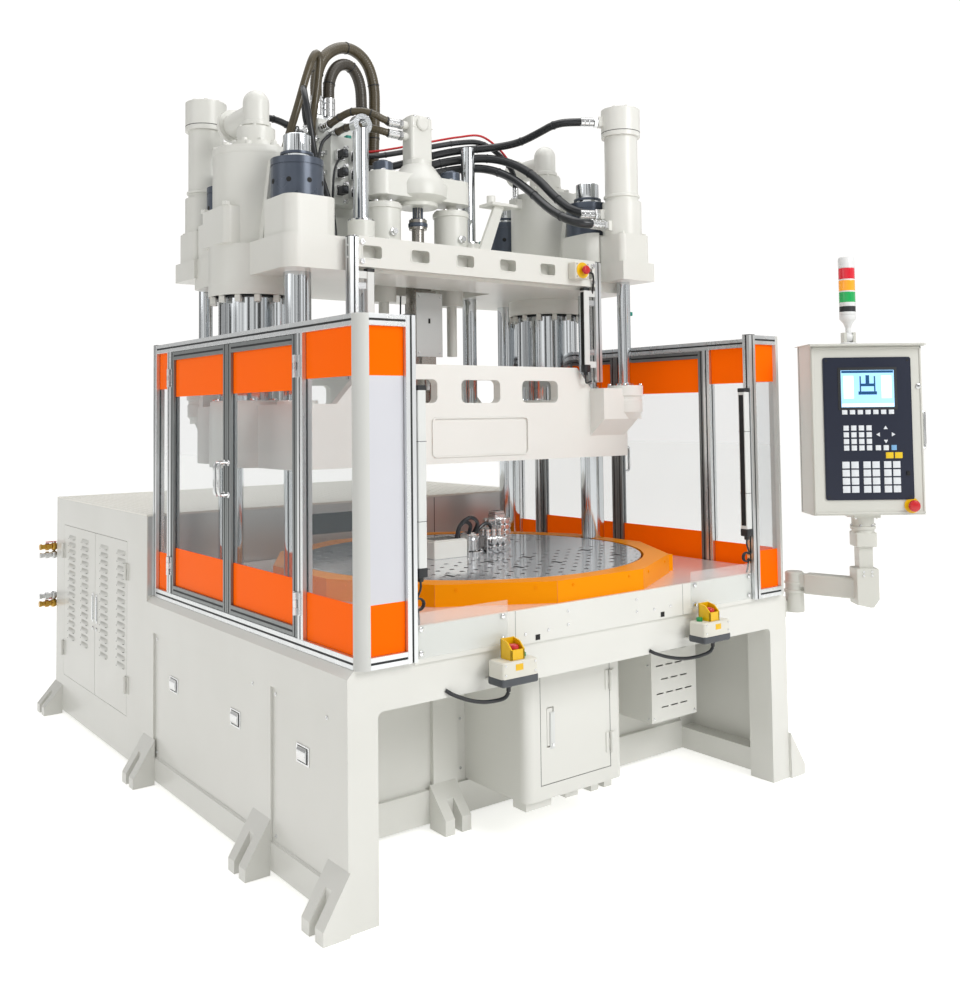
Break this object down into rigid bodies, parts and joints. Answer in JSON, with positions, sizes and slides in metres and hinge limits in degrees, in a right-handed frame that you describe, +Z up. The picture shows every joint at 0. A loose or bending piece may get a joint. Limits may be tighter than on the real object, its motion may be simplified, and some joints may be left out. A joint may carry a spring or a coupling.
{
  "type": "vertical injection moulding machine",
  "caption": "Upright injection moulding machine with a rotary mould table, a hydraulic clamp on tie bars, a vertical screw, side guards, a swinging operator panel and a power cabinet.",
  "frame": {"origin": "on the floor, under the middle of the machine's box measured without its hoses", "axes": "+Z up, +X to the operator's right, -Y toward the operator, +Y toward the power cabinet"},
  "size_m": [2.7601, 3.8948, 3.6031],
  "materials": {
    "cream_paint": "smooth off-white enamel",
    "grey_paint": "smooth light grey enamel",
    "machined_steel": "ground steel",
    "bright_rod": "hard chrome",
    "dark_nut": "dark blue-black",
    "profile_aluminium": "anodised silver",
    "orange_pane": "clear orange acrylic",
    "orange_paint": "orange enamel",
    "deck_steel": "dull sheet steel",
    "tread_steel": "chequered plate",
    "black_plastic": "satin black",
    "curtain_yellow": "yellow with a dark window",
    "navy_panel": "dark navy foil",
    "red_plastic": "red",
    "button_cream": "cream",
    "lamp_lens": "coloured lenses",
    "hose_black": "black rubber",
    "hose_olive": "olive spiral wrap",
    "motor_dark": "dark casting",
    "barrel_steel": "machined steel"
  },
  "bodies": {
    "machine": {"base_frame": "cream_paint", "side_covers": "cream_paint", "deck_plate": "deck_steel", "rotary_indexer": "motor_dark", "turntable_skirt": "orange_paint", "tie_bars": "bright_rod", "tie_bar_nuts": "dark_nut", "top_platen": "cream_paint", "platen_fittings": "cream_paint", "clamp_cylinders": "cream_paint", "quick_cylinders": "cream_paint", "valve_block": "machined_steel", "guard_frames": "profile_aluminium", "fixed_panes": "orange_pane", "light_curtains": "curtain_yellow", "power_cabinet": "cream_paint", "tread_plate": "tread_steel", "power_pack": "grey_paint", "lower_cabinets": "cream_paint", "button_boxes": "button_cream", "arm_post": "cream_paint", "return_hose_outer": "hose_black", "return_hose_inner": "hose_olive", "motor_hose_upper": "hose_black", "motor_hose_lower": "hose_olive", "right_cap_hose": "hose_black", "right_base_hose_upper": "hose_black", "right_base_hose_lower": "hose_olive", "right_clamp_hose": "hose_black", "left_cap_hose": "hose_black"},
    "turntable": {"turntable_disc": "machined_steel", "turntable_spindle": "machined_steel", "water_manifold": "machined_steel"},
    "clamp": {"moving_platen": "cream_paint", "clamp_rams": "bright_rod", "platen_rods": "bright_rod"},
    "injection_unit": {"injection_cylinders": "cream_paint", "barrel": "barrel_steel"},
    "plasticising_head": {"crosshead": "cream_paint", "hydraulic_motor": "motor_dark"},
    "screw_shaft": {"screw": "barrel_steel"},
    "front_louvre": {"front_louvre_door": "cream_paint"},
    "rear_louvre": {"rear_louvre_door": "cream_paint"},
    "cabinet_door": {"control_cabinet_door": "cream_paint"},
    "left_palm": {"left_palm_button": "red_plastic"},
    "right_palm": {"right_palm_button": "red_plastic"},
    "beam_stop": {"beam_stop_button": "red_plastic"},
    "panel_arm": {"pendant_arm": "cream_paint"},
    "panel_head": {"pendant_box": "cream_paint", "operator_panel": "navy_panel"},
    "panel_stop": {"pendant_stop_button": "red_plastic"},
    "signal_lamp": {"tower_lamp": "lamp_lens"},
    "front_left_door": {"front_left_door_frame": "profile_aluminium", "front_left_door_pane": "orange_pane"},
    "front_right_door": {"front_right_door_frame": "profile_aluminium", "front_right_door_pane": "orange_pane"},
    "rear_left_door": {"rear_left_door_frame": "profile_aluminium", "rear_left_door_pane": "orange_pane"},
    "rear_right_door": {"rear_right_door_frame": "profile_aluminium", "rear_right_door_pane": "orange_pane"}
  },
  "joints": [
    {"name": "clamp_slide", "type": "slide", "parent": "machine", "child": "clamp", "axis": [0, 0, 1], "range_m": [-0.22, 0]},
    {"name": "injection_slide", "type": "slide", "parent": "machine", "child": "injection_unit", "axis": [0, 0, 1], "range_m": [-0.22, 0]},
    {"name": "plasticising_slide", "type": "slide", "parent": "injection_unit", "child": "plasticising_head", "axis": [0, 0, 1], "range_m": [0, 0.12]},
    {"name": "screw_turn", "type": "hinge", "parent": "plasticising_head", "child": "screw_shaft", "pos_m": [-0.14506, -0.12507, 2.6], "axis": [0, 0, 1], "continuous": true},
    {"name": "table_turn", "type": "hinge", "parent": "machine", "child": "turntable", "pos_m": [-0.14506, -0.52507, 1.02], "axis": [0, 0, 1], "range_deg": [0, 180]},
    {"name": "front_left_door_hinge", "type": "hinge", "parent": "machine", "child": "front_left_door", "pos_m": [-1.26406, -0.99507, 1.4], "axis": [0, 0, 1], "range_deg": [0, 100]},
    {"name": "front_right_door_hinge", "type": "hinge", "parent": "machine", "child": "front_right_door", "pos_m": [0.97394, -0.99507, 1.4], "axis": [0, 0, 1], "range_deg": [-100, 0]},
    {"name": "rear_left_door_hinge", "type": "hinge", "parent": "machine", "child": "rear_left_door", "pos_m": [-1.26406, 0.23493, 1.4], "axis": [0, 0, 1], "range_deg": [-100, 0]},
    {"name": "rear_right_door_hinge", "type": "hinge", "parent": "machine", "child": "rear_right_door", "pos_m": [0.97394, 0.23493, 1.4], "axis": [0, 0, 1], "range_deg": [0, 100]},
    {"name": "front_louvre_hinge", "type": "hinge", "parent": "machine", "child": "front_louvre", "pos_m": [-1.29106, 0.72493, 0.64], "axis": [0, 0, 1], "range_deg": [0, 100]},
    {"name": "rear_louvre_hinge", "type": "hinge", "parent": "machine", "child": "rear_louvre", "pos_m": [-1.29106, 1.78493, 0.64], "axis": [0, 0, 1], "range_deg": [-100, 0]},
    {"name": "cabinet_door_hinge", "type": "hinge", "parent": "machine", "child": "cabinet_door", "pos_m": [0.04194, -1.23407, 0.43], "axis": [0, 0, 1], "range_deg": [0, 110]},
    {"name": "left_palm_press", "type": "slide", "parent": "machine", "child": "left_palm", "axis": [0, 0, -1], "range_m": [0, 0.005], "stiffness_N_per_m": 900},
    {"name": "right_palm_press", "type": "slide", "parent": "machine", "child": "right_palm", "axis": [0, 0, -1], "range_m": [0, 0.005], "stiffness_N_per_m": 900},
    {"name": "beam_stop_press", "type": "slide", "parent": "machine", "child": "beam_stop", "axis": [0, 1, 0], "range_m": [0, 0.005], "stiffness_N_per_m": 900},
    {"name": "panel_stop_press", "type": "slide", "parent": "panel_head", "child": "panel_stop", "axis": [0.6074, 0.7944, 0], "range_m": [0, 0.005], "stiffness_N_per_m": 900},
    {"name": "arm_swing", "type": "hinge", "parent": "machine", "child": "panel_arm", "pos_m": [1.05994, -1.39507, 0.85], "axis": [0, 0, 1], "range_deg": [-25, 50]},
    {"name": "panel_turn", "type": "hinge", "parent": "panel_arm", "child": "panel_head", "pos_m": [1.13494, -1.70507, 1.11], "axis": [0, 0, 1], "range_deg": [-40, 15]},
    {"name": "lamp_fold", "type": "hinge", "parent": "panel_head", "child": "signal_lamp", "pos_m": [1.10316, -1.68077, 1.973], "axis": [-0.7944, 0.6074, 0], "range_deg": [0, 90]}
  ]
}
